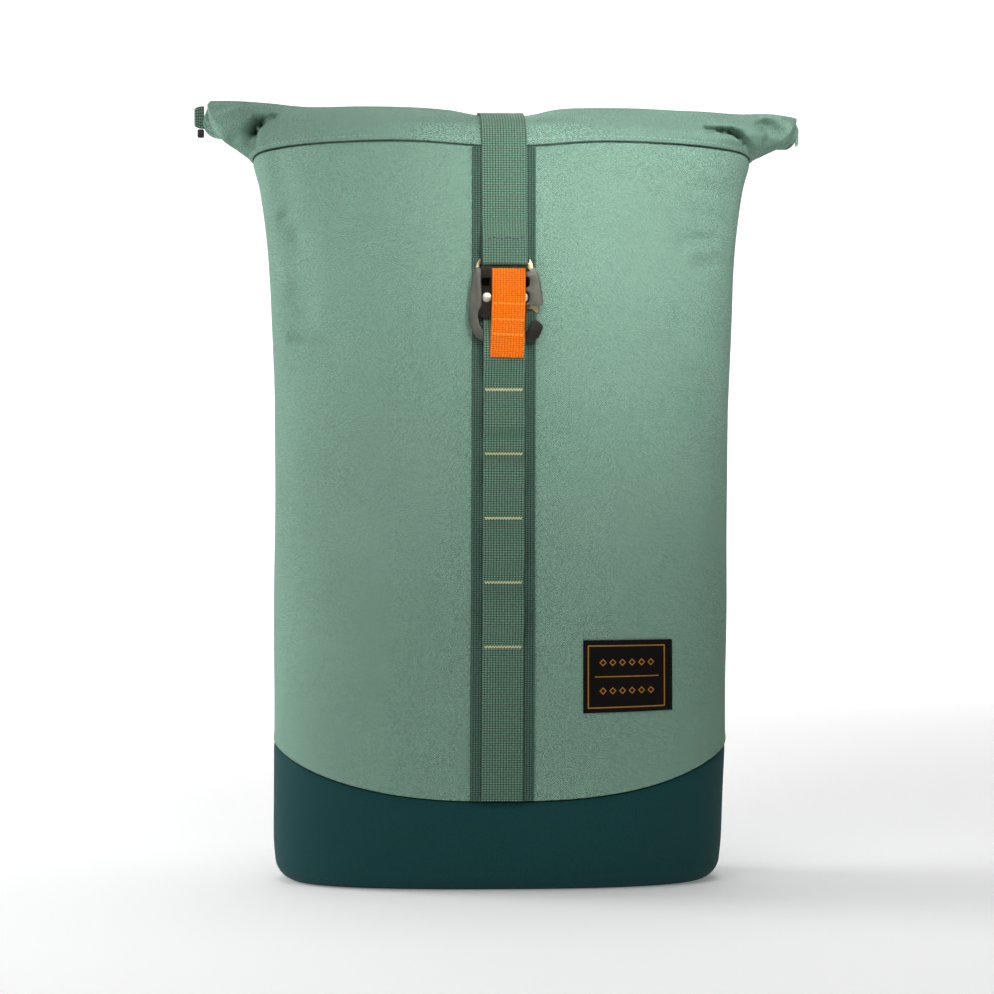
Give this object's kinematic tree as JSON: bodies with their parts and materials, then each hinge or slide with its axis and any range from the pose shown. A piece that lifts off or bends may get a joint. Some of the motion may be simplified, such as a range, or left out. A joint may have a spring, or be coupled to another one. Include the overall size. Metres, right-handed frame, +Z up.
{
  "type": "rolltop backpack",
  "caption": "Soft canvas backpack with a rolled top closure, a ladder of webbing loops with a metal hook buckle, and padded shoulder straps.",
  "frame": {"origin": "middle of the flat underside of the base", "axes": "+Z up, -Y is the front with the buckle, +X to the right as seen from the front"},
  "size_m": [0.3793, 0.2034, 0.4809],
  "materials": {
    "sage_canvas": "woven, two-tone",
    "collar_canvas": "woven",
    "dark_canvas": "woven",
    "webbing": "webbing",
    "dark_webbing": "webbing",
    "orange_webbing": "webbing",
    "label_cloth": "woven label",
    "black_metal": "satin",
    "gold_metal": "satin",
    "rivet_metal": "satin",
    "black_plastic": "matt"
  },
  "bodies": {
    "bag": {"base_shell": "dark_canvas", "body_panel": "sage_canvas", "collar_roll": "collar_canvas", "backing_webbing": "dark_webbing", "ladder_webbing": "webbing", "closure_strap": "webbing", "pull_tab": "orange_webbing", "buckle_body": "black_metal", "rivet_left": "rivet_metal", "rivet_right": "rivet_metal", "label_patch": "label_cloth", "roll_tab_left": "webbing", "roll_snap_left": "black_plastic", "roll_tab_right": "webbing", "shoulder_strap_left": "dark_webbing", "shoulder_strap_right": "dark_webbing", "strap_web_left": "webbing", "strap_web_right": "webbing", "ladder_lock_left": "black_plastic", "ladder_lock_right": "black_plastic", "grab_handle": "dark_webbing"},
    "lever_left": {"lever_left": "gold_metal"},
    "lever_right": {"lever_right": "gold_metal"}
  },
  "joints": [
    {"name": "lever_left_pinch", "type": "hinge", "parent": "bag", "child": "lever_left", "pos_m": [-0.0108, -0.0772, 0.3545], "axis": [0, 1, 0], "range_deg": [0, 8], "stiffness_Nm_per_rad": 0.02},
    {"name": "lever_right_pinch", "type": "hinge", "parent": "bag", "child": "lever_right", "pos_m": [0.0108, -0.0772, 0.3545], "axis": [0, 1, 0], "range_deg": [-8, 0], "stiffness_Nm_per_rad": 0.02}
  ]
}
